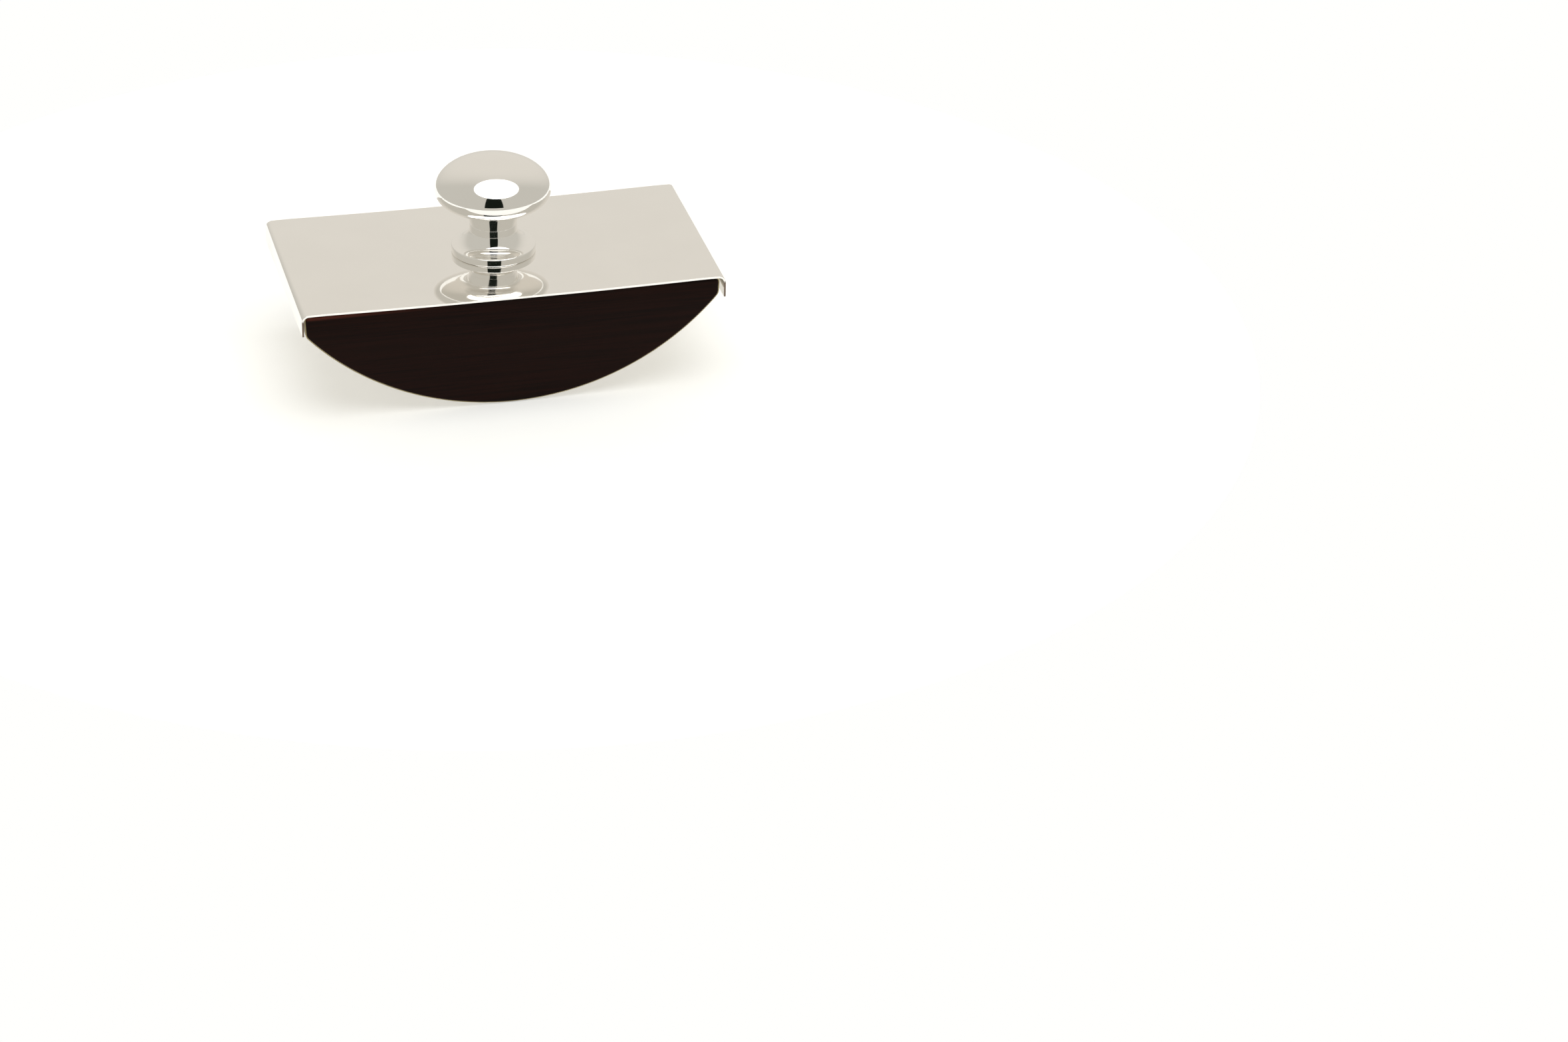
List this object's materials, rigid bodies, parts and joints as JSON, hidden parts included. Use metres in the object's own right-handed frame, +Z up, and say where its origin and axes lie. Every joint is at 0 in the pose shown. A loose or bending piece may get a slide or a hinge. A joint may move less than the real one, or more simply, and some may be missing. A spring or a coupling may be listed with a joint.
{
  "type": "rocker blotter",
  "caption": "Hand-held rocker blotter: curved-sole wooden block wrapped in blotting paper, clamped under a lipped metal plate by a screw-on turned knob.",
  "frame": {"origin": "on the surface that the sole rests on, under the knob's axis", "axes": "+X along the block's length, +Y across its width, +Z up the knob's axis"},
  "size_m": [0.11, 0.0576, 0.0558],
  "materials": {
    "mahogany": "dark stained, satin lacquer",
    "silver_plate": "polished silver plate",
    "paper": "soft absorbent blotting paper",
    "brass": "machined",
    "steel": "threaded, zinc plated"
  },
  "bodies": {
    "rocker": {"rocker_body": "mahogany", "threaded_insert": "brass", "blotting_paper": "paper"},
    "plate": {"top_plate": "silver_plate"},
    "washer": {"knob_washer": "brass"},
    "knob": {"knob": "silver_plate", "knob_stud": "steel"}
  },
  "joints": [
    {"name": "plate_lift", "type": "slide", "parent": "rocker", "child": "plate", "axis": [0, 0, 1], "range_m": [0, 0.03]},
    {"name": "knob_rise", "type": "slide", "parent": "plate", "child": "washer", "axis": [0, 0, 1], "range_m": [0, 0.0097]},
    {"name": "knob_turn", "type": "hinge", "parent": "washer", "child": "knob", "pos_m": [0, 0, 0.03], "axis": [0, 0, 1], "range_deg": [0, 4320]}
  ],
  "couplings": [
    {"joint": "knob_rise", "follows": "knob_turn", "m_per_rad": 0.00012732}
  ]
}
